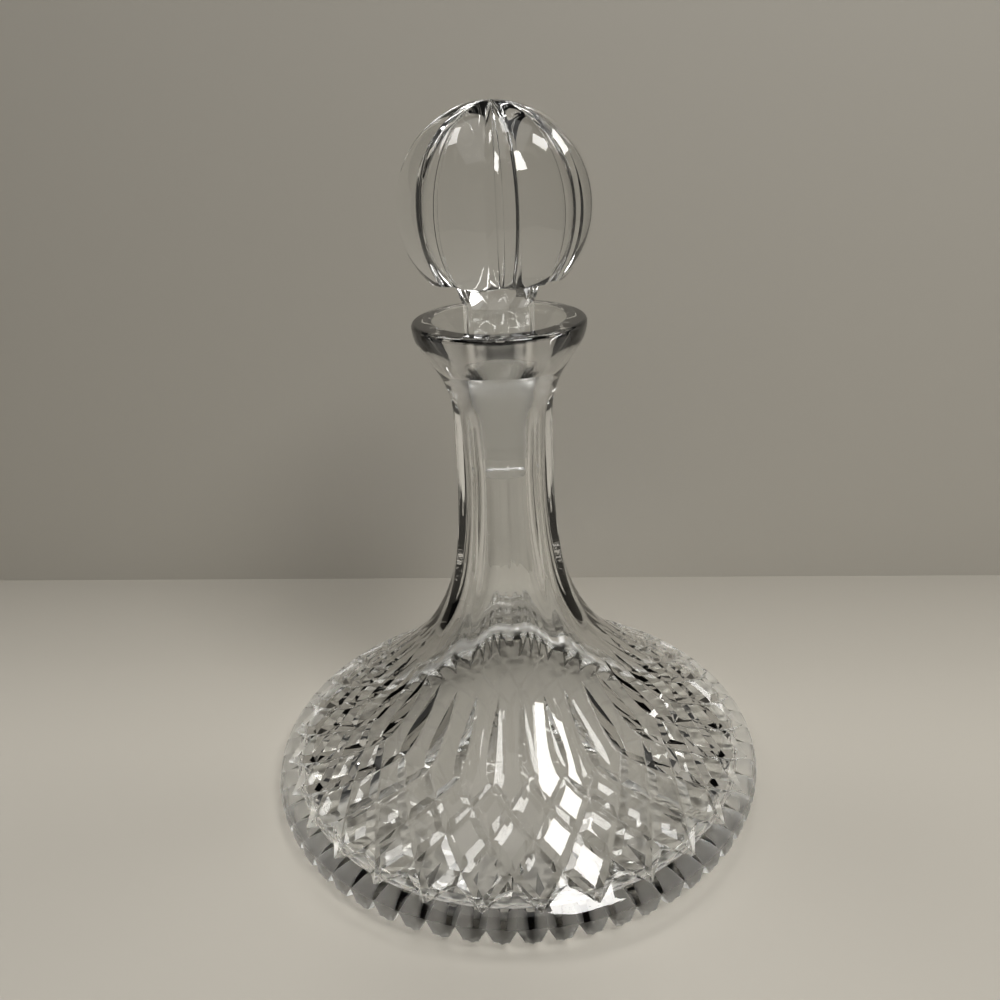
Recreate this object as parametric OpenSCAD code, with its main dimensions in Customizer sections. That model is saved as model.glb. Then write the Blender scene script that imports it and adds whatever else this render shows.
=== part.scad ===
// Ship's decanter in clear cut crystal: a hollow body and a solid ball stopper.
// Millimetres, +Z up. The origin is the middle of the base, on the table.

/* [Bulb] */
// Greatest diameter of the bulb
girth_d = 190; // [180:1:200]
// Rounding of the outside of the girth
girth_round = 7; // [5:0.5:9]
// Height of the rounding of the girth above the table
girth_lift = 0.2; // [0.1:0.1:3]
// Distance of the sharp lower edge inside the girth
base_inset = 5; // [2:0.5:8]
// Thickness of the glass under the cavity
base_t = 7; // [5:0.5:12]
// Radius of the hollow curve of the lower shoulder
shoulder_curve = 250; // [220:5:300]
// Radius of the tighter hollow curve under the neck
foot_curve = 72; // [60:1:85]
// Radius of the slow curve that runs up into the neck
rise_curve = 220; // [180:5:260]
// Slope of the wall from upright, where the slow curve ends
rise_slope = 9.5; // [7:0.5:13]
// Slope of the wall from upright, where the tighter curve ends
foot_slope = 44.4; // [40:0.2:47]
// Radius of the lower shoulder inside the cavity
inner_shoulder_curve = 160; // [155:5:200]
// Rounding of the cavity where its wall meets its floor
floor_round = 3; // [2.5:0.5:6]

/* [Neck and lip] */
// Diameter of the neck at its narrowest
neck_d = 35.2; // [32:0.2:38]
// Length of the straight part of the neck
neck_l = 22.2; // [15:0.2:40]
// Diameter of the bore below the stopper
bore_d = 17.4; // [14:0.2:20]
// Radius of the curve at the start of the flare
flare_curve = 28.5; // [24:0.5:34]
// Slope of the flare from upright
flare_slope = 33; // [28:1:38]
// Radius of the outward rounding below the rim
lip_curve = 12.5; // [8:0.5:14]
// Outer diameter of the lip
lip_d = 58.2; // [55:0.2:64]
// Diameter of the mouth at the rim
mouth_d = 44; // [40:0.5:47]
// Height of the rounded rim above the widest part of the lip
rim_h = 1.4; // [1:0.1:2]

/* [Neck flutes] */
// Number of flat flutes around the neck
flute_count = 10; // [8:1:12]
// Depth of a flute in the straight neck
flute_depth = 0.8; // [0.4:0.1:0.8]
// Slope of the wall at which a flute runs out on the shoulder
flute_end_slope = 35; // [28:1:40]
// Length of the straight neck over which a flute begins to rise out at the top
flute_rise = 4.5; // [3:0.5:8]
// Radius of the rise of a flute at the top
flute_rise_curve = 37; // [34:1:45]

/* [Bulb cuts] */
// Number of columns of diamonds around the bulb
lattice_count = 30; // [24:1:36]
// Length of the lattice of grooves up the shoulder, from the girth
lattice_l = 40.8; // [34:0.2:42]
// Number of columns that a groove passes on its way up
lattice_steps = 2; // [1:1:2]
// Depth of a groove of the lattice
lattice_depth = 1.2; // [0.6:0.1:1.5]
// Width of a groove of the lattice
lattice_w = 4.6; // [3:0.2:5]
// Turn of the first crossing of the grooves from the front
lattice_turn = 3.4; // [0:0.1:12]
// Length of the upright wedge above each upper crossing
wedge_l = 29; // [22:1:30]
// Depth of a wedge at its middle
wedge_depth = 1.7; // [0.8:0.1:2]
// Width of a wedge at its middle
wedge_w = 5; // [3:0.2:6]

/* [Base teeth] */
// Number of notches around the lower edge
tooth_count = 60; // [48:2:72]
// Height of a notch at the lower edge
tooth_h = 4.8; // [3:0.1:5]
// Length of a notch along the underside, from the lower edge inwards
tooth_l = 26; // [15:1:40]
// Turn of the first tooth from the front
tooth_turn = 1.5; // [0:0.5:6]

/* [Stopper] */
// Diameter of the ball
ball_d = 62; // [56:0.5:68]
// Diameter of the flat underside of the ball
ball_flat_d = 45; // [38:0.5:50]
// Gap between the rim of the mouth and the underside of the ball
ball_gap = 13.4; // [11:0.2:20]
// Number of grooves around the ball
groove_count = 8; // [6:1:10]
// Angle of a groove around the ball
groove_angle = 18.5; // [12:0.5:24]
// Depth of a groove at the middle of the ball
groove_depth = 1.8; // [1:0.1:2.5]
// Depth of a groove at its upper end
groove_end_depth = 0.3; // [0.2:0.1:0.6]
// Angle from the top of the ball at which a groove runs out
groove_end = 8; // [5:1:15]
// Turn of the first groove from the front
groove_turn = 4.5; // [0:0.5:45]
// Diameter of the collar under the ball
collar_d = 28.4; // [26:0.2:34]
// Height of the flared collar
collar_h = 8.5; // [6:0.5:10]
// Number of flats on the shank and collar
flat_count = 8; // [6:1:10]
// Distance across two opposite flats of the shank
shank_flats = 21.6; // [20:0.1:22]

/* [Ground taper] */
// Diameter of the socket at its upper end
socket_d = 22.2; // [20.5:0.1:24]
// Depth of the socket's upper end below the rim
socket_depth = 13.8; // [12:0.2:18]
// Slope of the taper from upright
taper_slope = 3.7; // [3:0.1:5]
// Gap between the plug and the socket, at right angles to the axis
taper_gap = 0.12; // [0.05:0.01:0.3]
// Length of the plug below the socket's upper end
plug_l = 39.5; // [30:0.5:50]
// Bevel around the tip of the plug
tip_bevel = 0.8; // [0.4:0.1:1.5]

/* [Hidden] */
$fn = 120;
over = 1;
girth_r = girth_d / 2;
base_r = girth_r - base_inset;
girth_z = girth_round + girth_lift;
neck_r = neck_d / 2;
bore_r = bore_d / 2;
lip_r = lip_d / 2;
mouth_r = mouth_d / 2;
neck_wall = neck_r - bore_r;

// Slope at which the shoulder runs into the girth, from the given diameters and curves
rise_out = rise_curve * (1 - cos(rise_slope));
foot_out = foot_curve * (cos(rise_slope) - cos(foot_slope));
shoulder_start_r = neck_r + rise_out + foot_out;
girth_mid_r = girth_r - girth_round;
girth_slope = acos((shoulder_start_r + shoulder_curve * cos(foot_slope) - girth_mid_r)
    / (shoulder_curve + girth_round));

// Heights from the table upwards
shoulder_drop = shoulder_curve * (sin(girth_slope) - sin(foot_slope));
foot_drop = foot_curve * (sin(foot_slope) - sin(rise_slope));
rise_drop = rise_curve * sin(rise_slope);
neck_z = girth_z + girth_round * sin(girth_slope) + shoulder_drop + foot_drop + rise_drop;
flare_z = neck_z + neck_l;
flare_out = flare_curve * (1 - cos(flare_slope));
lip_out = lip_curve * (1 - cos(flare_slope));
flare_run = lip_r - neck_r - flare_out - lip_out;
lip_z = flare_z + (flare_curve + lip_curve) * sin(flare_slope) + flare_run / tan(flare_slope);
rim_z = lip_z + rim_h;

// Centres of the curves of the wall
rise_mid = [neck_r + rise_curve, neck_z];
foot_mid = rise_mid - (rise_curve - foot_curve) * [cos(rise_slope), sin(rise_slope)];
shoulder_mid = foot_mid + (shoulder_curve - foot_curve) * [cos(foot_slope), sin(foot_slope)];
girth_mid = [girth_mid_r, girth_z];
flare_mid = [neck_r + flare_curve, flare_z];
lip_mid = [lip_r - lip_curve, lip_z];

// Lower edge: the girth turns under until it heads for the edge on the table
edge_reach = [base_inset - girth_round, girth_z];
edge_slope = atan2(edge_reach[0], edge_reach[1]) + asin(girth_round / norm(edge_reach));

// Curves of the cavity: the neck wall is carried down, then the shoulder thins out to the floor
inner_shoulder_mid = foot_mid
    + (inner_shoulder_curve - foot_curve - neck_wall) * [cos(foot_slope), sin(foot_slope)];
floor_round_z = base_t + floor_round;
floor_slope = asin((inner_shoulder_mid[1] - floor_round_z) / (inner_shoulder_curve + floor_round));
floor_round_mid = inner_shoulder_mid
    - (inner_shoulder_curve + floor_round) * [cos(floor_slope), sin(floor_slope)];

// Ground taper
socket_r = socket_d / 2;
socket_z = rim_z - socket_depth;
socket_end_z = socket_z - (socket_r - bore_r) / tan(taper_slope);
function plug_r(z) = socket_r - taper_gap + (z - socket_z) * tan(taper_slope);
tip_z = socket_z - plug_l;

// Lattice and wedges: heights on the shoulder are angles around its centre
lattice_pitch = 360 / lattice_count;
lattice_top = girth_slope - lattice_l / shoulder_curve * 180 / PI;
lattice_middle = (lattice_top + girth_slope) / 2;
wedge_middle = lattice_top - wedge_l / 2 / shoulder_curve * 180 / PI;
wedge_top = 2 * wedge_middle - lattice_top;
bar_share = 2;

// Flutes: the lower end bends out on a smaller curve than the wall
flute_pitch = 360 / flute_count;
flute_end_lift = flute_depth / (1 - cos(flute_end_slope - rise_slope));
flute_end_mid = foot_mid - flute_end_lift * [cos(rise_slope), sin(rise_slope)];
flute_end_curve = foot_curve + flute_depth - flute_end_lift;
flute_rise_mid = [neck_r - flute_depth + flute_rise_curve, flare_z - flute_rise];
flute_rise_angle = 50;

// Ball and collar
ball_r = ball_d / 2;
ball_flat_r = ball_flat_d / 2;
ball_flat_z = rim_z + ball_gap;
ball_flat_drop = sqrt(ball_r * ball_r - ball_flat_r * ball_flat_r);
ball_z = ball_flat_z + ball_flat_drop;
groove_pitch = 360 / groove_count;
collar_r = collar_d / 2;
collar_z = ball_flat_z - collar_h;

// Core of the ball, which is the bottom of the grooves: an arc turned about a line beside its centre
core_top = ball_r - groove_end_depth;
core_side = ball_r - groove_depth;
core_offset = (core_top * core_top - core_side * core_side) / (2 * core_side);
core_curve = core_side + core_offset;
core_low = asin(ball_flat_drop / core_curve);
core_high = acos(core_offset / core_curve);

// Points on an arc around a centre, from one angle to another
function arc(mid, r, from, to, steps) =
    [for (i = [0:steps]) let (a = from + (to - from) * i / steps) mid + r * [cos(a), sin(a)]];

// Point below the shoulder, at an angle around its centre and a turn around the bulb
function under_shoulder(slope, turn, depth) =
    let (p = shoulder_mid - (shoulder_curve + depth) * [cos(slope), sin(slope)])
    [p[0] * cos(turn), p[0] * sin(turn), p[1]];

// Direction straight out of the shoulder
function out_of_shoulder(slope, turn) = [cos(slope) * cos(turn), cos(slope) * sin(turn), sin(slope)];

// Outside of the wall, from the lower edge up to the rim
function outer_wall() = concat(
    [[base_r, 0]],
    arc(girth_mid, girth_round, -edge_slope, girth_slope, 9),
    arc(shoulder_mid, shoulder_curve, 180 + girth_slope, 180 + foot_slope, 5),
    arc(foot_mid, foot_curve, 180 + foot_slope, 180 + rise_slope, 8),
    arc(rise_mid, rise_curve, 180 + rise_slope, 180, 4),
    arc(flare_mid, flare_curve, 180, 180 - flare_slope, 6),
    arc(lip_mid, lip_curve, -flare_slope, 0, 5),
    arc([lip_r - rim_h, lip_z], rim_h, 15, 90, 5));

// Inside of the wall, from the rim down to the middle of the floor
function inner_wall() = concat(
    [[mouth_r, rim_z], [socket_r, socket_z], [bore_r, socket_end_z]],
    arc(rise_mid, rise_curve + neck_wall, 180, 180 + rise_slope, 4),
    arc(foot_mid, foot_curve + neck_wall, 180 + rise_slope, 180 + foot_slope, 8),
    arc(inner_shoulder_mid, inner_shoulder_curve, 180 + foot_slope, 180 + floor_slope, 8),
    arc(floor_round_mid, floor_round, floor_slope, -90, 8),
    [[0, base_t]]);

// Bottom of a flute, from its end on the shoulder up to its end on the flare
function flute_line() = concat(
    arc(flute_end_mid, flute_end_curve, 180 + foot_slope, 180 + rise_slope, 6),
    arc(rise_mid, rise_curve + flute_depth, 180 + rise_slope, 180, 4),
    arc(flute_rise_mid, flute_rise_curve, 180, 180 - flute_rise_angle, 6));

// Block that slices one flute: flat across and curved along the neck
module flute_cut() {
    line = flute_line();
    low = line[0];
    high = line[len(line) - 1];
    width = 2 * low[0] * sin(flute_pitch / 2);
    rotate([90, 0, 0]) linear_extrude(width, center = true)
        polygon(concat(line, [[girth_r, high[1]], [girth_r, low[1]]]));
}

// Straight bar with a V section: its lower edge is the bottom of a cut, from one point to another
module v_bar(from, to, out, width, depth) {
    along = (to - from) / norm(to - from);
    side = cross(along, out) / norm(cross(along, out));
    up = cross(side, along);
    multmatrix([
        [side[0], up[0], along[0], from[0]],
        [side[1], up[1], along[1], from[1]],
        [side[2], up[2], along[2], from[2]]])
        linear_extrude(norm(to - from))
            polygon([[0, 0], bar_share * [width / 2, depth], bar_share * [-width / 2, depth]]);
}

// Groove of the lattice: leans to one side on its way down and runs out on the girth
module lattice_cut(way) {
    swing = way * lattice_steps * lattice_pitch;
    top = under_shoulder(lattice_top, 0, lattice_depth);
    low = under_shoulder(girth_slope, swing, lattice_depth);
    run_out = girth_round / 2 * (low - top) / norm(low - top);
    v_bar(top, low + run_out, out_of_shoulder(lattice_middle, swing / 2), lattice_w, lattice_depth);
}

// Upright wedge: two bars that meet at its deepest point
module wedge_cut() {
    deepest = under_shoulder(wedge_middle, 0, wedge_depth);
    for (end = [lattice_top, wedge_top])
        v_bar(under_shoulder(end, 0, 0), deepest, out_of_shoulder(wedge_middle, 0), wedge_w, wedge_depth);
}

// Notch with a square bottom edge up, deepest at the lower edge of the bulb
module tooth_cut() {
    tilt = atan(tooth_h / tooth_l);
    side = 2 * tooth_h;
    length = tooth_l + girth_r - base_r + 2 * over;
    translate([base_r - tooth_l, 0, 0]) rotate([0, -tilt, 0]) rotate([45, 0, 0])
        translate([0, -side, -side]) cube([length, side, side]);
}

// Panels of the ball between its grooves, joined by a small round cap at the top
module ball_panels() {
    reach = ball_r + over;
    half_width = reach * tan((groove_pitch - groove_angle) / 2);
    intersection() {
        translate([0, 0, ball_z]) sphere(r = ball_r);
        translate([0, 0, ball_flat_z]) linear_extrude(ball_d) {
            circle(r = ball_r * sin(groove_end));
            for (i = [0:groove_count - 1])
                rotate([0, 0, groove_turn + (i + 0.5) * groove_pitch - 90])
                    polygon([[0, 0], [reach, -half_width], [reach, half_width]]);
        }
    }
}

// Core of the ball under the panels
module ball_core() {
    rotate_extrude() polygon(concat(
        [[0, ball_flat_z]],
        arc([-core_offset, ball_z], core_curve, -core_low, core_high, 16)));
}

// Shank, collar and plug before their flats are cut
module plug_round() {
    rotate_extrude() polygon([
        [0, tip_z],
        [plug_r(tip_z) - tip_bevel, tip_z],
        [plug_r(tip_z + tip_bevel), tip_z + tip_bevel],
        [plug_r(collar_z), collar_z],
        [collar_r, ball_flat_z],
        [collar_r, ball_flat_z + over],
        [0, ball_flat_z + over]]);
}

// Blocks that leave flats on the shank, and sloping ones for the collar
module flat_cut() {
    reach = collar_d;
    collar_slope = atan((collar_r - shank_flats / 2) / collar_h);
    translate([shank_flats / 2, -reach / 2, tip_z])
        cube([reach, reach, collar_z - tip_z]);
    translate([shank_flats / 2, -reach / 2, collar_z]) rotate([0, collar_slope, 0])
        cube([reach, reach, collar_h / cos(collar_slope) + reach * tan(collar_slope)]);
}

module decanter_body() {
    color("gainsboro", 0.6) difference() {
        rotate([0, 0, flute_pitch / 2])
            rotate_extrude() polygon(concat(outer_wall(), inner_wall(), [[0, 0]]));
        for (i = [0:flute_count - 1])
            rotate([0, 0, (i + 0.5) * flute_pitch - 90]) flute_cut();
        for (i = [0:lattice_count - 1])
            rotate([0, 0, lattice_turn + i * lattice_pitch - 90]) {
                wedge_cut();
                lattice_cut(-1);
                lattice_cut(1);
            }
        for (i = [0:tooth_count - 1])
            rotate([0, 0, tooth_turn + (i + 0.5) * 360 / tooth_count - 90]) tooth_cut();
    }
}

module stopper() {
    color("whitesmoke", 0.6) {
        ball_panels();
        ball_core();
        difference() {
            plug_round();
            for (i = [0:flat_count - 1])
                rotate([0, 0, (i + 0.5) * 360 / flat_count - 90]) flat_cut();
        }
    }
}

decanter_body();
stopper();
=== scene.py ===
"""Looks of a ship's decanter in clear cut crystal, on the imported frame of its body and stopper."""
import logging
import math
from dataclasses import dataclass
from enum import Enum, auto
from typing import Callable

import bmesh
import bpy
from mathutils import Matrix, Vector


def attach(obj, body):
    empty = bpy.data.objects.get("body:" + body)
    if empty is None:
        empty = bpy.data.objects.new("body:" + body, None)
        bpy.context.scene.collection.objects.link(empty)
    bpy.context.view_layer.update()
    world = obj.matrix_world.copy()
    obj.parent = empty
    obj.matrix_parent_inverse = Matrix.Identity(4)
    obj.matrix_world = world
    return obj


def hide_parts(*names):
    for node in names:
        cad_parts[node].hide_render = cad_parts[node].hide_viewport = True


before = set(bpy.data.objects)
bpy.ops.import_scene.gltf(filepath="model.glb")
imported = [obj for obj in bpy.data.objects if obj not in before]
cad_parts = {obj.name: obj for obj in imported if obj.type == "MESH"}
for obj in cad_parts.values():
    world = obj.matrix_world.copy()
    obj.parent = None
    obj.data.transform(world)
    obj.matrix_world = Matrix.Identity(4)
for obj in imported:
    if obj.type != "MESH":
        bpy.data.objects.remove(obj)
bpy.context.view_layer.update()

log = logging.getLogger("decanter")

MM = 0.001
SHARP_EDGE = math.radians(14.0)
SAME_SPOT = 0.002 * MM
NO_LENGTH = 0.001 * MM
ROW_SLACK = 1e-4
HALVINGS = 50
# Lines of the lattice in one pitch: a groove, its two edges and the middle between two grooves.
LINES = 4
# Noise of the ground band's worn edge, of the polish's haze and of its slow waves.
WORN_SCALE = 260.0
WORN_DETAIL = 3.0
WORN_REACH = 1.6 * MM
PATCH_DETAIL = 4.0
PATCH_POWER = 4.0
WAVE_SCALE = 45.0
WAVE_DETAIL = 1.0

Place = Callable[[float, float], Vector]
Value = bpy.types.NodeSocket | float


class Cut(Enum):
    """Bands of the body's surface, from the middle of the underside over the rim to the cavity's floor."""

    UNDERSIDE = auto()
    NOTCHES = auto()
    TEETH = auto()
    GIRTH = auto()
    DIAMONDS = auto()
    WEDGES = auto()
    SHOULDER = auto()
    FLUTES = auto()
    FLARE = auto()
    INSIDE = auto()


class Turning(Enum):
    """Bands of the stopper's surface, from the tip of its plug up to the top of its ball."""

    TIP = auto()
    PLUG = auto()
    SHANK = auto()
    COLLAR = auto()
    UNDERSIDE = auto()
    BALL = auto()


@dataclass(frozen=True)
class Span:
    """One arc or straight run of a turned profile, in millimetres of radius and height."""

    start: Vector
    end: Vector
    mid: Vector | None = None
    start_angle: float = 0.0
    end_angle: float = 0.0

    @property
    def length(self) -> float:
        """Length of the run along the profile."""
        if self.mid is None:
            return (self.end - self.start).length
        return abs(self.end_angle - self.start_angle) * (self.start - self.mid).length

    def at(self, share: float) -> tuple[Vector, Vector]:
        """Point and direction at a share of the run.

        Args:
            share: Place along the run, from 0 to 1.

        Returns:
            The point and the unit direction of travel there.
        """
        if self.mid is None:
            return self.start.lerp(self.end, share), (self.end - self.start).normalized()
        angle = self.start_angle + (self.end_angle - self.start_angle) * share
        radius = (self.start - self.mid).length
        way = 1.0 if self.end_angle > self.start_angle else -1.0
        arm = Vector((math.cos(angle), math.sin(angle)))
        return self.mid + radius * arm, way * Vector((-arm.y, arm.x))


def spoke(angle: float) -> Vector:
    """Unit vector at an angle in degrees."""
    return Vector((math.cos(math.radians(angle)), math.sin(math.radians(angle))))


def straight(start: Vector, end: Vector) -> Span:
    """Straight run of a profile between two points."""
    return Span(Vector(start), Vector(end))


def bend(mid: Vector, radius: float, start: float, end: float) -> Span:
    """Arc of a profile.

    Args:
        mid: Centre of the arc.
        radius: Radius of the arc.
        start: Angle of its first point, in degrees.
        end: Angle of its last point, in degrees.

    Returns:
        The arc as a run of the profile.
    """
    centre = Vector(mid)
    first, last = centre + radius * spoke(start), centre + radius * spoke(end)
    return Span(first, last, centre, math.radians(start), math.radians(end))


@dataclass(frozen=True)
class Profile:
    """Runs of a turned profile, one after the other."""

    spans: tuple[Span, ...]

    @property
    def length(self) -> float:
        """Length of the whole profile."""
        return sum(span.length for span in self.spans)

    def at(self, distance: float) -> tuple[Vector, Vector]:
        """Point and direction at a distance along the profile.

        Args:
            distance: Length from the first point.

        Returns:
            The point and the unit direction of travel there.
        """
        left = max(distance, 0.0)
        for span in self.spans[:-1]:
            if left <= span.length:
                return span.at(left / span.length)
            left -= span.length
        last = self.spans[-1]
        return last.at(min(left / last.length, 1.0))

    def distance_at_height(self, height: float) -> float:
        """Distance at which a profile that rises all the way passes a height."""
        low, high = 0.0, self.length
        for _ in range(HALVINGS):
            middle = (low + high) / 2
            if self.at(middle)[0].y < height:
                low = middle
            else:
                high = middle
        return (low + high) / 2


def around(radius: float, height: float, azimuth: float) -> Vector:
    """Point in metres at a radius, a height and an azimuth in degrees from the front, to the right."""
    angle = math.radians(azimuth)
    return Vector((radius * math.sin(angle), -radius * math.cos(angle), height)) * MM


def mix(low: float, high: float, share: float) -> float:
    """Value at a share of the way between two values."""
    return low + (high - low) * share


def ease(share: float) -> float:
    """Share that starts and ends softly."""
    clipped = min(max(share, 0.0), 1.0)
    return clipped * clipped * (3 - 2 * clipped)


def sheet(columns: int, rows: int) -> bmesh.types.BMesh:
    """Flat grid with one unit to a cell and its lowest corner at the origin.

    Args:
        columns: Number of cells across.
        rows: Number of cells up.

    Returns:
        The grid as a new bmesh.
    """
    bm = bmesh.new()
    bmesh.ops.create_grid(bm, x_segments=columns, y_segments=rows, size=0.5)
    stretch = Matrix.Diagonal((columns, rows, 1.0, 1.0))
    bmesh.ops.transform(bm, matrix=stretch @ Matrix.Translation((0.5, 0.5, 0.0)), verts=bm.verts)
    return bm


def close_skin(bm: bmesh.types.BMesh, name: str) -> bpy.types.Object:
    """Makes an object of a wrapped sheet: seams and poles closed, faces outwards, cut edges sharp.

    Args:
        bm: The wrapped sheet, which is freed.
        name: Name of the new object.

    Returns:
        The object, linked to the scene.
    """
    bmesh.ops.remove_doubles(bm, verts=bm.verts, dist=SAME_SPOT)
    bmesh.ops.dissolve_degenerate(bm, edges=bm.edges, dist=NO_LENGTH)
    bmesh.ops.recalc_face_normals(bm, faces=bm.faces)
    for face in bm.faces:
        face.smooth = True
    for edge in bm.edges:
        edge.smooth = len(edge.link_faces) == 2 and edge.calc_face_angle() < SHARP_EDGE
    mesh = bpy.data.meshes.new(name)
    bm.to_mesh(mesh)
    bm.free()
    obj = bpy.data.objects.new(name, mesh)
    bpy.context.scene.collection.objects.link(obj)
    return obj


@dataclass(frozen=True)
class Band:
    """Rows of a sheet that one kind of cut takes up."""

    kind: Enum
    first: int
    count: int

    @property
    def last(self) -> int:
        """Number of the band's upper row."""
        return self.first + self.count


def stack(counts: list[tuple[Enum, int]]) -> list[Band]:
    """Bands of a sheet, one above the other.

    Args:
        counts: Kind of each band and its number of rows.

    Returns:
        The bands with their first rows.
    """
    bands: list[Band] = []
    row = 0
    for kind, count in counts:
        bands.append(Band(kind, row, count))
        row += count
    return bands


def band_of(bands: list[Band], kind: Enum) -> Band:
    """The band of one kind."""
    return next(band for band in bands if band.kind is kind)


def wrap(bm: bmesh.types.BMesh, bands: list[Band], places: dict[Enum, Place]) -> None:
    """Moves each corner of a sheet to its place on the turned form.

    Args:
        bm: The flat sheet.
        bands: Its bands, from the bottom up.
        places: For each kind of band, gives the place for a column and a share of the band's height.
    """
    for vert in bm.verts:
        column, row = vert.co.x, vert.co.y
        band = next(b for b in bands if row <= b.last + ROW_SLACK)
        vert.co = places[band.kind](column, (row - band.first) / band.count)


@dataclass
class CutBody:
    """Hollow body: wide cut bulb, fluted neck, flared lip and the cavity with its ground socket."""

    girth_d: float = 189.92
    girth_round: float = 7.0
    girth_lift: float = 0.2
    base_inset: float = 5.0
    base_t: float = 7.0
    shoulder_curve: float = 250.0
    foot_curve: float = 72.0
    rise_curve: float = 220.0
    rise_slope: float = 9.5
    foot_slope: float = 44.4
    inner_shoulder_curve: float = 160.0
    floor_round: float = 3.0
    neck_d: float = 35.2
    neck_l: float = 22.2
    bore_d: float = 17.4
    flare_curve: float = 28.5
    flare_slope: float = 33.0
    lip_curve: float = 12.5
    lip_d: float = 58.2
    mouth_d: float = 44.0
    mouth_round: float = 0.5
    mouth_turn: float = 160.0
    rim_h: float = 1.4
    socket_d: float = 22.2
    socket_depth: float = 13.8
    taper_slope: float = 3.7
    columns: int = 120
    inside_counts: tuple[int, ...] = (3, 6, 6, 8, 2, 6, 12, 12, 12, 6)
    flute_count: int = 10
    flute_depth: float = 0.8
    flute_edge: float = 16.5
    flute_low_z: float = 61.0
    flute_high_z: float = 157.5
    flute_low_bow: float = 8.0
    flute_high_bow: float = 4.0
    flute_low_run: float = 0.45
    flute_high_run: float = 0.1
    flare_share: float = 0.6
    lattice_count: int = 30
    lattice_rows: int = 8
    lattice_turn: float = 0.44
    lattice_high_z: float = 36.8
    lattice_low_z: float = 13.5
    lattice_growth: float = 0.21
    groove_share: float = 0.2
    groove_end_share: float = 0.13
    groove_tip_share: float = 0.02
    groove_depth: float = 1.75
    wedge_high_z: float = 58.0
    wedge_swell_half: float = 1.9
    wedge_swell_depth: float = 1.8
    wedge_tip_half: float = 0.25
    wedge_close: float = 1.4
    wedge_run: float = 0.9
    wedge_lean: float = 0.8
    wedge_full: float = 0.9
    wedge_most: float = 0.45
    tooth_h: float = 10.0
    tooth_l: float = 26.0
    tooth_turn: float = 1.5
    band_low_z: float = 10.8

    def __post_init__(self) -> None:
        """Works out the profiles and the rows of the sheet from the sizes."""
        self.outside = self._outside()
        self.inside = self._inside()
        self.inside_rows = self._inside_rows()
        self.bands = stack([
            (Cut.UNDERSIDE, 4), (Cut.NOTCHES, 1), (Cut.TEETH, 9), (Cut.GIRTH, 5),
            (Cut.DIAMONDS, self.lattice_rows), (Cut.WEDGES, 12), (Cut.SHOULDER, 4), (Cut.FLUTES, 36),
            (Cut.FLARE, 24), (Cut.INSIDE, len(self.inside_rows) - 1),
        ])
        marks = (self.lattice_low_z, self.lattice_high_z, self.wedge_high_z, self.flute_low_z,
                 self.flute_high_z, self.band_low_z, self.tooth_h / 2, self.tooth_h)
        distances = (self.outside.distance_at_height(z) for z in marks)
        (self.lattice_low, self.lattice_high, self.wedge_high, self.flute_low, self.flute_high,
         self.band_low, self.notch_half, self.notch_high) = distances
        self.places = {
            Cut.UNDERSIDE: self._underside, Cut.NOTCHES: self._notch, Cut.TEETH: self._tooth,
            Cut.GIRTH: self._girth, Cut.DIAMONDS: self._diamond, Cut.WEDGES: self._wedge,
            Cut.SHOULDER: self._shoulder, Cut.FLUTES: self._flute, Cut.FLARE: self._flare,
            Cut.INSIDE: self._cavity,
        }

    def _heights(self) -> None:
        """Centres and heights of the curves, as in the solid."""
        girth_r, neck_r = self.girth_d / 2, self.neck_d / 2
        self.neck_wall = neck_r - self.bore_d / 2
        self.base_r = girth_r - self.base_inset
        girth_z = self.girth_round + self.girth_lift
        out = neck_r + self.rise_curve * (1 - spoke(self.rise_slope).x)
        out += self.foot_curve * (spoke(self.rise_slope).x - spoke(self.foot_slope).x)
        reach = out + self.shoulder_curve * spoke(self.foot_slope).x - (girth_r - self.girth_round)
        arm = self.shoulder_curve + self.girth_round
        self.girth_slope = math.degrees(math.acos(reach / arm))
        self.girth_mid = Vector((girth_r - self.girth_round, girth_z))
        self.shoulder_mid = self.girth_mid + arm * spoke(self.girth_slope)
        self.foot_mid = self.shoulder_mid - (self.shoulder_curve - self.foot_curve) * spoke(self.foot_slope)
        self.rise_mid = self.foot_mid + (self.rise_curve - self.foot_curve) * spoke(self.rise_slope)
        self.neck_z = self.rise_mid.y
        self.flare_z = self.neck_z + self.neck_l
        flare = math.radians(self.flare_slope)
        curves = self.flare_curve + self.lip_curve
        run = self.lip_d / 2 - neck_r - curves * (1 - math.cos(flare))
        self.lip_z = self.flare_z + curves * math.sin(flare) + run / math.tan(flare)
        self.rim_z = self.lip_z + self.rim_h
        self.socket_z = self.rim_z - self.socket_depth
        taper = (self.socket_d - self.bore_d) / 2 / math.tan(math.radians(self.taper_slope))
        self.socket_end_z = self.socket_z - taper

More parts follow.
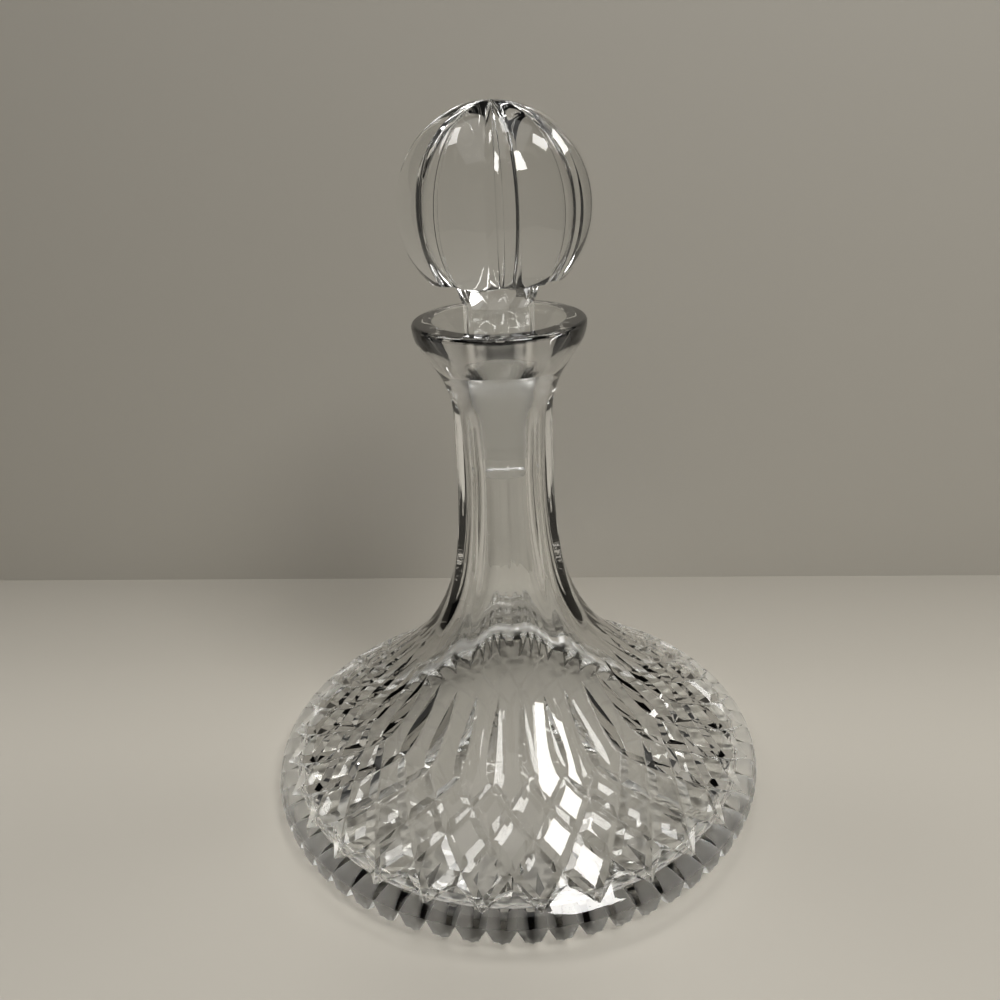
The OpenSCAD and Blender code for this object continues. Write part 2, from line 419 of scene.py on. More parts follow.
    def _outside(self) -> Profile:
        """Outside of the wall, from the lower edge up to the inner edge of the rim."""
        self._heights()
        reach = Vector((self.base_inset - self.girth_round, self.girth_mid.y))
        edge = math.degrees(math.atan2(reach.x, reach.y) + math.asin(self.girth_round / reach.length))
        neck_r, lip_r = self.neck_d / 2, self.lip_d / 2
        girth = bend(self.girth_mid, self.girth_round, -edge, self.girth_slope)
        rise = bend(self.rise_mid, self.rise_curve, 180 + self.rise_slope, 180)
        flare = bend((neck_r + self.flare_curve, self.flare_z), self.flare_curve, 180, 180 - self.flare_slope)
        lip = bend((lip_r - self.lip_curve, self.lip_z), self.lip_curve, -self.flare_slope, 0)
        rim = bend((lip_r - self.rim_h, self.lip_z), self.rim_h, 0, 90)
        return Profile((
            straight((self.base_r, 0.0), girth.start),
            girth,
            bend(self.shoulder_mid, self.shoulder_curve, 180 + self.girth_slope, 180 + self.foot_slope),
            bend(self.foot_mid, self.foot_curve, 180 + self.foot_slope, 180 + self.rise_slope),
            rise,
            straight(rise.end, flare.start),
            flare,
            straight(flare.end, lip.start),
            lip,
            rim,
        ))

    def _inside(self) -> Profile:
        """Inside of the wall, from the rim down to the middle of the cavity's floor."""
        bore_r = self.bore_d / 2
        foot_curve = self.foot_curve + self.neck_wall
        mid = self.foot_mid + (self.inner_shoulder_curve - foot_curve) * spoke(self.foot_slope)
        reach = self.inner_shoulder_curve + self.floor_round
        slope = math.degrees(math.asin((mid.y - self.base_t - self.floor_round) / reach))
        turn = mid - reach * spoke(slope)
        mouth_r, edge = self.mouth_d / 2, self.mouth_round
        rise = bend(self.rise_mid, self.rise_curve + self.neck_wall, 180, 180 + self.rise_slope)
        floor = bend(turn, self.floor_round, slope, -90)
        top = Vector((self.lip_d / 2 - self.rim_h, self.rim_z))
        return Profile((
            straight(top, (mouth_r + edge, self.rim_z)),
            bend((mouth_r + edge, self.rim_z - edge), edge, 90, self.mouth_turn),
            straight((mouth_r, self.rim_z - edge), (self.socket_d / 2, self.socket_z)),
            straight((self.socket_d / 2, self.socket_z), (bore_r, self.socket_end_z)),
            straight((bore_r, self.socket_end_z), rise.start),
            rise,
            bend(self.foot_mid, foot_curve, 180 + self.rise_slope, 180 + self.foot_slope),
            bend(mid, self.inner_shoulder_curve, 180 + self.foot_slope, 180 + slope),
            floor,
            straight(floor.end, (0.0, self.base_t)),
        ))

    def _inside_rows(self) -> list[float]:
        """Distances along the inside at which the sheet has rows: more on the tighter curves."""
        rows = [0.0]
        for span, count in zip(self.inside.spans, self.inside_counts):
            first = rows[-1]
            rows += [first + span.length * (i + 1) / count for i in range(count)]
        return rows

    def _turn_flutes(self, column: float) -> float:
        """Azimuth of a column where the neck is fluted: a narrow land column beside each flute's edges."""
        per = self.columns // self.flute_count
        pitch = 360 / self.flute_count
        sector, local = divmod(column, per)
        land = pitch / 2 - self.flute_edge
        inner = land + (local - 1) * 2 * self.flute_edge / (per - 2)
        angle = local * land if local <= 1 else inner if local <= per - 1 else pitch - (per - local) * land
        return sector * pitch + angle

    def _turn_lattice(self, pitches: float) -> float:
        """Azimuth of a place on the lattice, counted in its pitches."""
        return self.lattice_turn + (pitches + 1 / LINES) * 360 / self.lattice_count

    def _turn_teeth(self, column: float) -> float:
        """Azimuth of a column at the rim, where every second column is a tooth's point."""
        return self.tooth_turn + column * 360 / self.columns

    def _skin(self, distance: float, depth: float, azimuth: float) -> Vector:
        """Place at a distance along the outside and a depth below it."""
        point, way = self.outside.at(distance)
        spot = point + depth * Vector((-way.y, way.x))
        return around(spot.x, spot.y, azimuth)

    def _groove_share_at(self, share: float) -> float:
        """Half of a groove's width in pitches: narrower at the top, a point at the girth."""
        if share < 0.5:
            return mix(self.groove_tip_share, self.groove_share, ease(share * self.lattice_rows))
        return mix(self.groove_end_share, self.groove_share, ease((1 - share) * self.lattice_rows / 2))

    def _knot(self, line: float, half: float) -> float:
        """Place of a line of the lattice, in pitches, for grooves of a half width."""
        whole, part = divmod(line, LINES)
        knots = (0.0, half, 0.5, 1 - half, 1.0)
        low = int(part)
        return whole + mix(knots[low], knots[low + 1], part - low)

    def _diamond(self, column: float, share: float) -> Vector:
        """Place of a corner of the diamonds.

        Args:
            column: Column of the sheet.
            share: Share of the band's height, from its lower edge.

        Returns:
            The corner's place: on a groove's bottom, on its edge or on a diamond's table.
        """
        lines = self.lattice_rows * (1 - share)
        left, right = round(column - 1 - lines), round(column - 1 + lines)
        half = self._groove_share_at(share)
        first, second = self._knot(left, half), self._knot(right, half)
        along = (second - first) * LINES / (2 * self.lattice_rows)
        run = mix(along, along * along, self.lattice_growth)
        distance = mix(self.lattice_high, self.lattice_low, run)
        on_groove = left % LINES == 0 or right % LINES == 0
        depth = self.groove_depth * half / self.groove_share if on_groove else 0.0
        return self._skin(distance, depth, self._turn_lattice((first + second) / 2))

    def _wedge(self, column: float, share: float) -> Vector:
        """Place of a corner among the upright wedge cuts, which rise from the lattice's upper crossings."""
        distance = mix(self.lattice_high, self.wedge_high, share)
        pitch = math.radians(360 / self.lattice_count) * self.outside.at(distance)[0].x
        run = min(share / self.wedge_run, 1.0)
        swell = max(math.sin(math.pi * run ** self.wedge_lean), 0.0) ** self.wedge_full
        edge = mix(self.groove_end_share * pitch, self.wedge_tip_half, ease(share * self.wedge_close))
        half = min((edge + self.wedge_swell_half * swell) / pitch, self.wedge_most)
        groove = self.groove_depth * self.groove_end_share / self.groove_share
        line = round(column - 1)
        depth = mix(groove, 0.0, ease(share)) + self.wedge_swell_depth * swell if line % LINES == 0 else 0.0
        return self._skin(distance, depth, self._turn_lattice(self._knot(line, half)))

    def _flute_bow(self, column: float) -> tuple[float, float]:
        """Squared share of a flute's half width at a column, and the azimuth there."""
        azimuth = self._turn_flutes(column)
        pitch = 360 / self.flute_count
        off = abs(azimuth % pitch - pitch / 2)
        return min(off / self.flute_edge, 1.0) ** 2, azimuth

    def _flute(self, column: float, share: float) -> Vector:
        """Place of a corner of the neck's flutes, whose ends are bowed and run out."""
        bow, azimuth = self._flute_bow(column)
        low = self.flute_low + self.flute_low_bow * bow
        high = self.flute_high - self.flute_high_bow * bow
        rise = math.sin(math.pi / 2 * min(share / self.flute_low_run, 1.0))
        rise *= math.sin(math.pi / 2 * min((1 - share) / self.flute_high_run, 1.0))
        return self._skin(mix(low, high, share), self.flute_depth * rise * (1 - bow), azimuth)

    def _underside(self, column: float, share: float) -> Vector:
        """Place of a corner on the flat underside, inside the notches."""
        return around((self.base_r - self.tooth_l) * share, 0.0, self._turn_teeth(column))

    def _notch(self, column: float, share: float) -> Vector:
        """Place of a corner of the notches, which rise from the underside out to the rim."""
        return self._underside(column, 1.0) if share < 0.5 else self._tooth(column, 0.0)

    def _tooth(self, column: float, share: float) -> Vector:
        """Place of a corner on the teeth between the notches, up to the plain band of the girth."""
        edges = (0.0, self.notch_half, self.notch_high)
        edge = edges[round(2 - 2 * abs(column % 2 - 1))]
        return self._skin(mix(edge, self.band_low, share), 0.0, self._turn_teeth(column))

    def _girth(self, column: float, share: float) -> Vector:
        """Place of a corner on the girth, where the columns turn from the teeth to the lattice."""
        half = mix(1 / LINES, self.groove_tip_share, ease(share))
        lattice = self._turn_lattice(self._knot(round(column) - 1, half))
        azimuth = mix(self._turn_teeth(column), lattice, ease(share))
        return self._skin(mix(self.band_low, self.lattice_low, share), 0.0, azimuth)

    def _shoulder(self, column: float, share: float) -> Vector:
        """Place of a corner on the shoulder, where the columns turn from the wedges to the flutes."""
        bow, azimuth = self._flute_bow(column)
        top = self.flute_low + self.flute_low_bow * bow
        start = self._wedge(column, 1.0)
        below = math.degrees(math.atan2(start.x, -start.y))
        turn = (azimuth - below + 180) % 360 - 180
        return self._skin(mix(self.wedge_high, top, share), 0.0, below + turn * ease(share))

    def _flare(self, column: float, share: float) -> Vector:
        """Place of a corner on the flared lip and over the rim."""
        bow, azimuth = self._flute_bow(column)
        start = self.flute_high - self.flute_high_bow * bow
        rim = self.outside.length - self.outside.spans[-1].length
        if share <= self.flare_share:
            return self._skin(mix(start, rim, share / self.flare_share), 0.0, azimuth)
        over = (share - self.flare_share) / (1 - self.flare_share)
        return self._skin(mix(rim, self.outside.length, over), 0.0, azimuth)

    def _cavity(self, column: float, share: float) -> Vector:
        """Place of a corner on the inside of the wall."""
        row = self.inside_rows[round(share * (len(self.inside_rows) - 1))]
        point = self.inside.at(row)[0]
        return around(max(point.x, 0.0), point.y, self._turn_flutes(column))

    def build(self) -> bpy.types.Object:
        """Builds the body's skin from one sheet.

        Returns:
            The body as an object that stands for its solid.
        """
        bm = sheet(self.columns, self.bands[-1].last)
        lattice = band_of(self.bands, Cut.DIAMONDS)
        cells = [f for f in bm.faces if lattice.first < f.calc_center_median().y < lattice.last]
        bmesh.ops.poke(bm, faces=cells)
        self._fold_notches(bm)
        wrap(bm, self.bands, self.places)
        return close_skin(bm, "cut_body")

    def _fold_notches(self, bm: bmesh.types.BMesh) -> None:
        """Gives the teeth a corner halfway up each side, and folds the notches to a V.

        Args:
            bm: The flat sheet.
        """
        notches, teeth = band_of(self.bands, Cut.NOTCHES), band_of(self.bands, Cut.TEETH)
        level = [e for e in bm.edges if round(e.verts[0].co.y) == round(e.verts[1].co.y)
                 and teeth.first <= round(e.verts[0].co.y) <= teeth.last]
        bmesh.ops.subdivide_edges(bm, edges=level, cuts=1, use_grid_fill=True)
        inner = [v for v in bm.verts if round(v.co.y) == notches.first and round(v.co.x) % 2 == 1]
        outer = [v for v in bm.verts if round(v.co.y) == notches.last and round(2 * v.co.x) % 4 != 2]
        bmesh.ops.connect_verts(bm, verts=inner + outer)


@dataclass
class BallStopper:
    """Solid stopper: grooved ball, faceted collar and shank, and the ground plug."""

    ball_d: float = 62.0
    ball_z: float = 216.48
    ball_flat_z: float = 195.15
    groove_count: int = 8
    groove_angle: float = 18.5
    groove_depth: float = 2.3
    groove_turn: float = 4.5
    collar_d: float = 28.4
    collar_z: float = 186.65
    flat_count: int = 8
    shank_flats: float = 21.6
    socket_r: float = 11.1
    socket_z: float = 167.95
    taper_slope: float = 3.7
    taper_gap: float = 0.12
    tip_z: float = 128.45
    tip_bevel: float = 0.8
    tip_share: float = 0.6
    groove_fade: float = 0.8
    columns: int = 128

    def __post_init__(self) -> None:
        """Works out the bands, the ball's lower edge and the plug's end from the sizes."""
        self.bands = stack([
            (Turning.TIP, 5), (Turning.PLUG, 12), (Turning.SHANK, 10), (Turning.COLLAR, 10),
            (Turning.UNDERSIDE, 3), (Turning.BALL, 48),
        ])
        self.low_angle = -math.degrees(math.asin((self.ball_z - self.ball_flat_z) / (self.ball_d / 2)))
        self.tip_r = self._plug_r(self.tip_z + self.tip_bevel)
        self.places = {
            Turning.TIP: self._tip, Turning.PLUG: self._plug, Turning.SHANK: self._shank,
            Turning.COLLAR: self._collar, Turning.UNDERSIDE: self._underside, Turning.BALL: self._ball,
        }

    def _plug_r(self, z: float) -> float:
        """Radius of the round taper at a height."""
        slope = math.tan(math.radians(self.taper_slope))
        return self.socket_r - self.taper_gap + (z - self.socket_z) * slope

    def _flat_turn(self, column: float) -> tuple[float, float]:
        """Azimuth of a column on the shank, and its angle from the middle of its flat."""
        pitch = 360 / self.flat_count
        azimuth = column * 360 / self.columns
        return azimuth, math.radians(azimuth % pitch - pitch / 2)

    def _groove_turn(self, column: float) -> tuple[float, float]:
        """Azimuth of a column on the ball, and its place in a groove, from -1 to 1, or 1 on a panel."""
        per = self.columns // self.groove_count
        pitch = 360 / self.groove_count
        sector, local = divmod(column + per / 4, per)
        groove = local <= per / 2
        half = self.groove_angle / 2
        inside = (local / (per / 2) * 2 - 1) * half
        panel = half + (local - per / 2) / (per / 2) * (pitch - self.groove_angle)
        azimuth = self.groove_turn + sector * pitch + (inside if groove else panel)
        return azimuth, inside / half if groove else 1.0

    def _ball(self, column: float, share: float) -> Vector:
        """Place of a corner on the ball, whose grooves are hollow and fade towards the top."""
        azimuth, across = self._groove_turn(column)
        angle = math.radians(mix(self.low_angle, 90.0, share))
        half = self.ball_d / 2 * math.sin(math.radians(self.groove_angle / 2))
        wheel = (half * half + self.groove_depth ** 2) / (2 * self.groove_depth)
        hollow = self.groove_depth - wheel + math.sqrt(wheel * wheel - (half * across) ** 2)
        depth = hollow * math.cos(angle) ** self.groove_fade if share < 1 else 0.0
        radius = self.ball_d / 2 - depth
        if share == 0.0:
            flat = (self.ball_flat_z - self.ball_z) / math.sin(angle)
            return around(flat * math.cos(angle) - depth, self.ball_flat_z, azimuth)
        height = max(self.ball_z + radius * math.sin(angle), self.ball_flat_z)
        return around(max(radius * math.cos(angle), 0.0), height, azimuth)

    def _shank(self, column: float, share: float) -> Vector:
        """Place of a corner between the plug's facet points and the collar."""
        azimuth, off = self._flat_turn(column)
        flat = self.shank_flats / 2 / math.cos(off)
        slope = math.tan(math.radians(self.taper_slope))
        start = self.socket_z + (flat - self.socket_r + self.taper_gap) / slope
        return around(flat, mix(start, self.collar_z, share), azimuth)

    def _collar(self, column: float, share: float) -> Vector:
        """Place of a corner on the flared collar: sloping flats under a round edge."""
        azimuth, off = self._flat_turn(column)
        low = self.shank_flats / 2
        flat = mix(low, self.collar_d / 2, share) / math.cos(off)
        cone = mix(self._plug_r(self.collar_z), self.collar_d / 2, share)
        return around(min(flat, cone), mix(self.collar_z, self.ball_flat_z, share), azimuth)

    def _tip(self, column: float, share: float) -> Vector:
        """Place of a corner on the plug's flat end and its rounded edge."""
        inner = min(share / self.tip_share, 1.0) * (self.tip_r - self.tip_bevel)
        turn = max(share - self.tip_share, 0.0) / (1 - self.tip_share) * math.pi / 2
        radius = inner + self.tip_bevel * math.sin(turn)
        height = self.tip_z + self.tip_bevel * (1 - math.cos(turn))
        return around(radius, height, self._flat_turn(column)[0])

    def _plug(self, column: float, share: float) -> Vector:
        """Place of a corner on the round taper, up to the lower ends of the shank's flats."""
        start = self._shank(column, 0.0)
        radius = math.hypot(start.x, start.y) / MM
        height = mix(self.tip_z + self.tip_bevel, start.z / MM, share)
        return around(mix(self.tip_r, radius, share), height, self._flat_turn(column)[0])

    def _underside(self, column: float, share: float) -> Vector:
        """Place of a corner on the ball's flat underside, outside the collar."""
        return self._collar(column, 1.0).lerp(self._ball(column, 0.0), share)

    def build(self) -> bpy.types.Object:
        """Builds the stopper's skin from one sheet.

        Returns:
            The stopper as an object that stands for its solid.
        """
        bm = sheet(self.columns, self.bands[-1].last)
        wrap(bm, self.bands, self.places)
        return close_skin(bm, "ball_stopper")


def new_group(name: str, inputs: dict[str, float], outputs: tuple[str, ...]) -> bpy.types.NodeTree:
    """Empty shader node group with its sockets, which are all plain numbers.

    Args:
        name: Name of the group.
        inputs: Name and default value of each input.
        outputs: Name of each output.

    Returns:
        The group, with its input and output nodes.
    """
    group = bpy.data.node_groups.new(name, "ShaderNodeTree")
    for label, value in inputs.items():
        socket = group.interface.new_socket(label, in_out="INPUT", socket_type="NodeSocketFloat")
        socket.default_value = value
    for label in outputs:
        group.interface.new_socket(label, in_out="OUTPUT", socket_type="NodeSocketFloat")
    group.nodes.new("NodeGroupInput")
    group.nodes.new("NodeGroupOutput")
    return group


def feed(tree: bpy.types.NodeTree, socket: bpy.types.NodeSocket, value: Value) -> None:
    """Gives an input its value.

    Args:
        tree: The node tree.
        socket: The input.
        value: A socket to link to it, or a number.
    """
    if isinstance(value, bpy.types.NodeSocket):
        tree.links.new(value, socket)
    else:
        socket.default_value = value


def math_node(tree: bpy.types.NodeTree, operation: str, *values: Value) -> bpy.types.NodeSocket:
    """Adds a math node.

    Args:
        tree: The node tree.
        operation: Blender's name of the operation.
        values: Its one or two values, each a socket or a number.

    Returns:
        The node's result.
    """
    node = tree.nodes.new("ShaderNodeMath")
    node.operation = operation
    for socket, value in zip(node.inputs, values):
        feed(tree, socket, value)
    return node.outputs[0]


def noise_node(tree: bpy.types.NodeTree, scale: Value, detail: float) -> bpy.types.NodeSocket:
    """Adds a noise pattern in the object's own space.

    Args:
        tree: The node tree.
        scale: Its scale, a socket or a number.
        detail: Its detail.

    Returns:
        The pattern, from 0 to 1.
    """
    place = tree.nodes.new("ShaderNodeTexCoord")
    noise = tree.nodes.new("ShaderNodeTexNoise")
    tree.links.new(place.outputs["Object"], noise.inputs["Vector"])
    feed(tree, noise.inputs["Scale"], scale)
    feed(tree, noise.inputs["Detail"], detail)
    return noise.outputs["Fac"]


def blend_to_clear(tree: bpy.types.NodeTree, shader: bpy.types.Node, share: bpy.types.NodeSocket) -> None:
    """Makes a material clear by a share, without refraction.

    Args:
        tree: The material's nodes.
        shader: The shader that shows where the share is nothing.
        share: How clear the surface is, from 0 to 1.
    """
    clear = tree.nodes.new("ShaderNodeBsdfTransparent")
    blend = tree.nodes.new("ShaderNodeMixShader")
    tree.links.new(share, blend.inputs["Fac"])
    tree.links.new(shader.outputs["BSDF"], blend.inputs[1])
    tree.links.new(clear.outputs["BSDF"], blend.inputs[2])
    tree.links.new(blend.outputs["Shader"], tree.nodes["Material Output"].inputs["Surface"])


def ground_band_group() -> bpy.types.NodeTree:
    """Group that masks a ground band: between two heights and inside a radius, with a softly worn edge."""
    group = new_group("ground_band", {"Low": 0.13, "High": 0.168, "Reach": 0.013}, ("Mask",))
    given = group.nodes["Group Input"]
    place = group.nodes.new("ShaderNodeTexCoord")
    parts = group.nodes.new("ShaderNodeSeparateXYZ")
    group.links.new(place.outputs["Object"], parts.inputs[0])
    uneven = math_node(group, "SUBTRACT", noise_node(group, WORN_SCALE, WORN_DETAIL), 0.5)
    stray = math_node(group, "MULTIPLY", uneven, WORN_REACH)
    height = math_node(group, "ADD", parts.outputs["Z"], stray)
    square = math_node(
        group, "ADD",
        math_node(group, "MULTIPLY", parts.outputs["X"], parts.outputs["X"]),
        math_node(group, "MULTIPLY", parts.outputs["Y"], parts.outputs["Y"]))
    above = math_node(group, "GREATER_THAN", height, given.outputs["Low"])
    below = math_node(group, "LESS_THAN", height, given.outputs["High"])
    near = math_node(group, "LESS_THAN", math_node(group, "SQRT", square), given.outputs["Reach"])
    mask = math_node(group, "MULTIPLY", math_node(group, "MULTIPLY", above, below), near)
    group.links.new(mask, group.nodes["Group Output"].inputs["Mask"])
    return group


def hand_polish_group() -> bpy.types.NodeTree:
    """Group for hand-polished glass: a faint haze in patches and the slow waves that polishing leaves."""
    group = new_group("hand_polish", {"Haze": 0.02, "Scale": 60.0}, ("Roughness", "Waves"))
    given = group.nodes["Group Input"]
    patches = noise_node(group, given.outputs["Scale"], PATCH_DETAIL)
    sharper = math_node(group, "POWER", patches, PATCH_POWER)
    haze = math_node(group, "MULTIPLY", sharper, given.outputs["Haze"])
    out = group.nodes["Group Output"]
    group.links.new(haze, out.inputs["Roughness"])
    group.links.new(noise_node(group, WAVE_SCALE, WAVE_DETAIL), out.inputs["Waves"])
    return group


@dataclass(frozen=True)
class Crystal:
    """Clear lead crystal, polished, with one ground band and a matt rim near the floor."""

    name: str
    tint: tuple[float, float, float] = (0.985, 0.99, 0.985)
    band_low: float = 135.6
    band_high: float = 168.0
    band_reach: float = 12.5
    ior: float = 1.55
    ground: float = 0.22
    haze: float = 0.12
    wave: float = 0.02
    edge_round: float = 0.18
    edge_samples: int = 4
    rim_low: float = -10.0
    rim_high: float = 10.2
    rim_reach: float = 80.0
    rim_far: float = 200.0
    rim_ground: float = 0.3
    rim_shade: float = 0.6
    shade: float = 0.04
    edge_shade: float = 0.75
    edge_power: float = 1.1
    base_skin: float = 0.5
    web_shade: float = 0.6
    web_scale: float = 150.0
    web_sharp: float = 4.0
    web_inner: float = 48.0
    web_outer: float = 66.0

    def make(self) -> bpy.types.Material:
        """Makes the material.

        Returns:
            Glass whose roughness follows the ground band, the rim and the polish.
        """
        material = bpy.data.materials.new(self.name)
        material.use_nodes = True
        tree = material.node_tree
        shader = tree.nodes["Principled BSDF"]
        shader.inputs["Base Color"].default_value = (*self.tint, 1.0)
        shader.inputs["Metallic"].default_value = 0.0
        shader.inputs["Transmission Weight"].default_value = 1.0
        shader.inputs["IOR"].default_value = self.ior
        band = self._zone(tree, self.band_low, self.band_high, self.band_reach)
        polish = tree.nodes.new("ShaderNodeGroup")
        polish.node_tree = bpy.data.node_groups.get("hand_polish") or hand_polish_group()
        polish.inputs["Haze"].default_value = self.haze
        rim = math_node(
            tree, "SUBTRACT",
            self._zone(tree, self.rim_low, self.rim_high, self.rim_far),
            self._zone(tree, self.rim_low, self.rim_high, self.rim_reach))
        rough = math_node(
            tree, "ADD",
            math_node(tree, "MULTIPLY", band, self.ground),
            math_node(tree, "MULTIPLY", rim, self.rim_ground))
        tree.links.new(math_node(tree, "ADD", rough, polish.outputs["Roughness"]), shader.inputs["Roughness"])
        worn = tree.nodes.new("ShaderNodeBevel")
        worn.samples = self.edge_samples
        worn.inputs["Radius"].default_value = self.edge_round * MM
        bump = tree.nodes.new("ShaderNodeBump")
        tree.links.new(worn.outputs["Normal"], bump.inputs["Normal"])
        bump.inputs["Strength"].default_value = self.wave
        bump.inputs["Distance"].default_value = MM
        tree.links.new(polish.outputs["Waves"], bump.inputs["Height"])
        tree.links.new(bump.outputs["Normal"], shader.inputs["Normal"])
        self._let_light_through(tree, shader)
        return material

    def _zone(self, tree: bpy.types.NodeTree, low: float, high: float, reach: float) -> bpy.types.NodeSocket:
        """Masks a zone of the glass.

        Args:
            tree: The material's nodes.
            low: Its lower height.
            high: Its upper height.
            reach: Its radius.

        Returns:
            The mask.
        """
        zone = tree.nodes.new("ShaderNodeGroup")
        zone.node_tree = bpy.data.node_groups.get("ground_band") or ground_band_group()
        for label, value in (("Low", low), ("High", high), ("Reach", reach)):
            zone.inputs[label].default_value = value * MM
        return zone.outputs["Mask"]

    def _turned_away(self, tree: bpy.types.NodeTree) -> bpy.types.NodeSocket:
        """Share of the light that never reaches the floor: at the rim, and in a web on the base.

        Args:
            tree: The material's nodes.

        Returns:
            The share that is lost.
        """
        place = tree.nodes.new("ShaderNodeTexCoord")
        parts = tree.nodes.new("ShaderNodeSeparateXYZ")
        tree.links.new(place.outputs["Object"], parts.inputs[0])
        length = tree.nodes.new("ShaderNodeVectorMath")
        length.operation = "LENGTH"
        tree.links.new(place.outputs["Object"], length.inputs[0])
        low = math_node(tree, "LESS_THAN", parts.outputs["Z"], self.rim_high * MM)
        outer = math_node(tree, "GREATER_THAN", length.outputs["Value"], self.rim_reach * MM)
        rim = math_node(tree, "MULTIPLY", math_node(tree, "MULTIPLY", low, outer), self.rim_shade)
        cells = tree.nodes.new("ShaderNodeTexVoronoi")
        cells.feature = "DISTANCE_TO_EDGE"
        cells.inputs["Scale"].default_value = self.web_scale
        tree.links.new(place.outputs["Object"], cells.inputs["Vector"])
        dark = math_node(
            tree, "MINIMUM", math_node(tree, "MULTIPLY", cells.outputs["Distance"], self.web_sharp), 1.0)
        base = math_node(tree, "LESS_THAN", parts.outputs["Z"], self.base_skin * MM)
        ring = tree.nodes.new("ShaderNodeMapRange")
        for label, value in (("From Min", self.web_inner * MM), ("From Max", self.web_outer * MM),
                             ("To Max", self.web_shade)):
            ring.inputs[label].default_value = value
        tree.links.new(length.outputs["Value"], ring.inputs["Value"])
        web = math_node(tree, "MULTIPLY", math_node(tree, "MULTIPLY", dark, base), ring.outputs["Result"])
        return math_node(tree, "ADD", rim, web)

    def _let_light_through(self, tree: bpy.types.NodeTree, shader: bpy.types.Node) -> None:
        """Lets most of the light on the floor through the glass, in place of its caustics.

        Args:
            tree: The material's nodes.
            shader: The glass shader.
        """
        path = tree.nodes.new("ShaderNodeLightPath")
        passing = math_node(tree, "MAXIMUM", path.outputs["Is Shadow Ray"], path.outputs["Is Diffuse Ray"])
        slant = tree.nodes.new("ShaderNodeLayerWeight")
        steep = math_node(tree, "POWER", slant.outputs["Facing"], self.edge_power)
        loss = math_node(tree, "MULTIPLY", steep, self.edge_shade)
        kept = math_node(tree, "SUBTRACT", 1.0, self._turned_away(tree))
        share = math_node(tree, "MULTIPLY", math_node(tree, "SUBTRACT", 1.0 - self.shade, loss), kept)
        blend_to_clear(tree, shader, math_node(tree, "MULTIPLY", passing, share))


@dataclass(frozen=True)
class Plain:
    """Plain matt surface of the studio."""

    name: str
    colour: tuple[float, float, float]
    roughness: float = 0.6
    open_behind: bool = False

    def make(self) -> bpy.types.Material:
        """Makes the material.

        Returns:
            A matt material of one colour, which a camera behind it looks through if it is open there.
        """
        material = bpy.data.materials.new(self.name)
        material.use_nodes = True
        shader = material.node_tree.nodes["Principled BSDF"]
        shader.inputs["Base Color"].default_value = (*self.colour, 1.0)
        shader.inputs["Roughness"].default_value = self.roughness
        if self.open_behind:
            self._open(material.node_tree, shader)
        return material

    def _open(self, tree: bpy.types.NodeTree, shader: bpy.types.Node) -> None:
        """Lets a camera behind the surface look through it.

        Args:
            tree: The material's nodes.
            shader: The matt shader.
        """
        path = tree.nodes.new("ShaderNodeLightPath")
        side = tree.nodes.new("ShaderNodeNewGeometry")
        behind = math_node(tree, "MULTIPLY", path.outputs["Is Camera Ray"], side.outputs["Backfacing"])
        blend_to_clear(tree, shader, behind)


@dataclass(frozen=True)
class Lamp:
    """Square soft light of the studio."""

    name: str
    place: tuple[float, float, float]
    size: float
    power: float
    target: tuple[float, float, float] = (0.0, 0.0, 0.1)
    colour: tuple[float, float, float] = (1.0, 0.985, 0.96)

    def make(self) -> None:
        """Adds the light to the scene."""
        data = bpy.data.lights.new(self.name, "AREA")
        data.size, data.energy, data.color = self.size, self.power, self.colour
        obj = bpy.data.objects.new(self.name, data)
        obj.location = self.place
        way = Vector(self.target) - Vector(self.place)
        obj.rotation_euler = way.to_track_quat("-Z", "Y").to_euler()
        bpy.context.scene.collection.objects.link(obj)


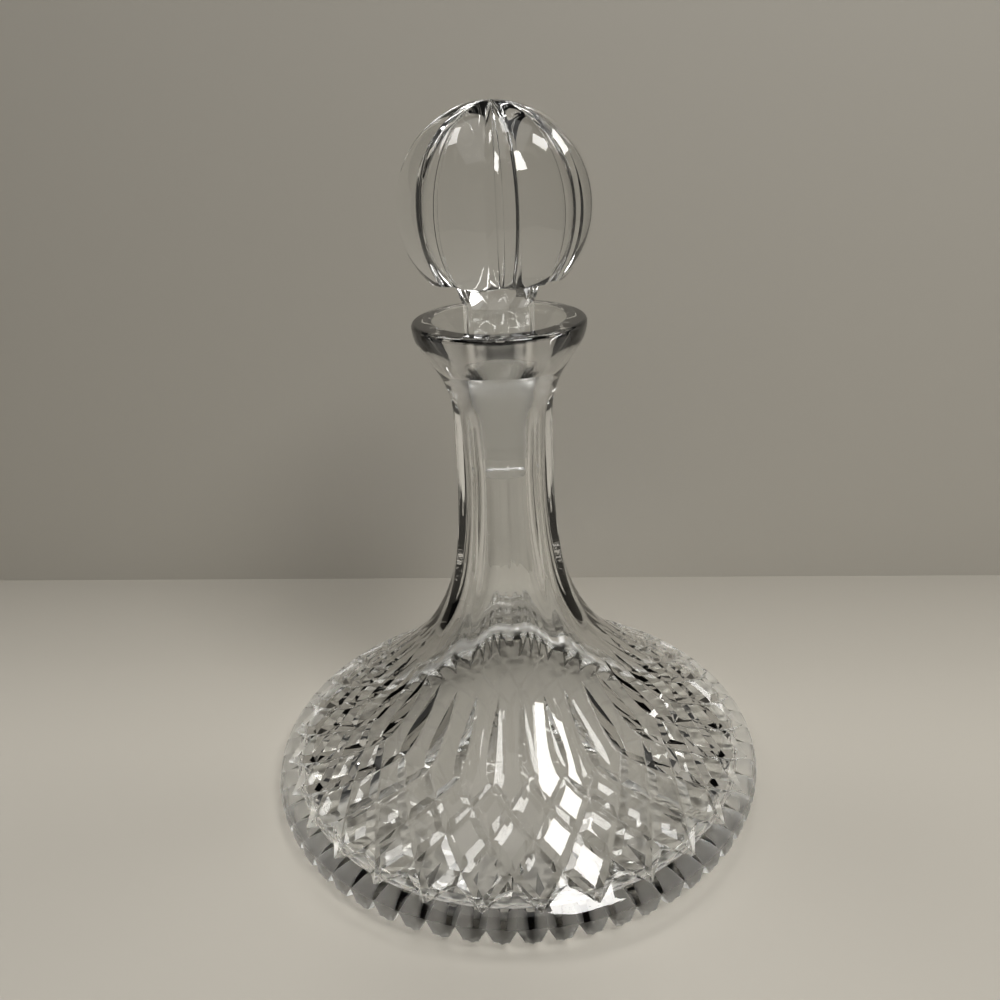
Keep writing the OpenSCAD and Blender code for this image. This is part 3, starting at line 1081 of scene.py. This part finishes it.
@dataclass
class Studio:
    """Pale floor, wall behind it, soft lights and the camera."""

    wall_y: float = 0.148
    wall_h: float = 0.3
    floor_half: float = 0.6
    wall_turn: float = -4.3
    wall_colour: tuple[float, float, float] = (0.53, 0.505, 0.45)
    floor_colour: tuple[float, float, float] = (0.45, 0.425, 0.375)
    camera_place: tuple[float, float, float] = (0.0, -0.2933, 0.2489)
    camera_pitch: float = 24.45
    camera_roll: float = -2.43
    camera_lens: float = 32.18
    camera_shift: float = -0.0067
    camera_sensor: float = 36.0
    camera_near: float = 0.01
    world_colour: tuple[float, float, float] = (0.03, 0.0288, 0.027)

    def _board(self, name: str, finish: Plain, place: Matrix) -> None:
        """Adds a flat board of the studio.

        Args:
            name: Name of the object.
            finish: Its finish.
            place: Where it stands, for a board of two metres.
        """
        bm = bmesh.new()
        bmesh.ops.create_grid(bm, x_segments=1, y_segments=1, size=1.0, matrix=place)
        mesh = bpy.data.meshes.new(name)
        bm.to_mesh(mesh)
        bm.free()
        mesh.materials.append(finish.make())
        obj = bpy.data.objects.new(name, mesh)
        bpy.context.scene.collection.objects.link(obj)

    def build(self) -> None:
        """Builds the stage, the lights, the world and the camera."""
        self._board("floor", Plain("pale_floor", self.floor_colour), Matrix.Scale(self.floor_half, 4))
        turned = Matrix.Translation((0.0, self.wall_y, self.wall_h / 2)) @ Matrix.Rotation(
            math.radians(self.wall_turn), 4, "Z") @ Matrix.Rotation(math.pi / 2, 4, "X")
        wall = turned @ Matrix.Diagonal((self.floor_half, self.wall_h / 2, 1.0, 1.0))
        self._board("wall", Plain("warm_wall", self.wall_colour, open_behind=True), wall)
        for lamp in (
            Lamp("key", (0.42, -0.58, 1.09), 0.4, 8.4),
            Lamp("left", (-0.62, 0.26, 1.1), 0.4, 3.4),
            Lamp("middle", (0.08, 0.5, 1.25), 0.22, 2.4),
            Lamp("right", (0.72, 0.18, 1.1), 0.26, 2.0),
            Lamp("ceiling", (0.0, -0.1, 1.5), 1.5, 5.2, target=(0.0, -0.1, 0.0)),
        ):
            lamp.make()
        world = bpy.data.worlds.new("studio_air")
        world.use_nodes = True
        back = world.node_tree.nodes["Background"]
        back.inputs["Color"].default_value = (*self.world_colour, 1.0)
        bpy.context.scene.world = world
        self._camera()

    def _camera(self) -> None:
        """Adds the camera at the photograph's place."""
        data = bpy.data.cameras.new("camera")
        data.sensor_fit = "HORIZONTAL"
        data.sensor_width = self.camera_sensor
        data.lens = self.camera_lens
        data.shift_x = self.camera_shift
        data.clip_start = self.camera_near
        obj = bpy.data.objects.new("camera", data)
        turn = Matrix.Rotation(math.radians(90 - self.camera_pitch), 4, "X")
        roll = Matrix.Rotation(math.radians(self.camera_roll), 4, "Z")
        obj.matrix_world = Matrix.Translation(self.camera_place) @ turn @ roll
        bpy.context.scene.collection.objects.link(obj)
        bpy.context.scene.camera = obj


def dress(obj: bpy.types.Object, finish: Crystal, node: str, body: str) -> None:
    """Gives a piece its finish and its place in the frame.

    Args:
        obj: The piece.
        finish: Its crystal.
        node: The solid it stands for.
        body: The body it moves with.
    """
    obj.data.materials.append(finish.make())
    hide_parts(node)
    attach(obj, body)
    log.info("%s: %d faces", obj.name, len(obj.data.polygons))


def main() -> None:
    """Builds the studio, the body and the stopper."""
    logging.basicConfig(level=logging.INFO)
    bpy.context.scene.view_settings.view_transform = "Standard"
    Studio().build()
    body, stopper = CutBody(), BallStopper()
    body_crystal = Crystal("body_crystal", band_high=body.socket_z)
    stopper_crystal = Crystal("stopper_crystal", edge_round=0.04, shade=0.4)
    dress(body.build(), body_crystal, "decanter_body", "decanter")
    dress(stopper.build(), stopper_crystal, "stopper", "stopper")


if __name__ == "__main__":
    main()
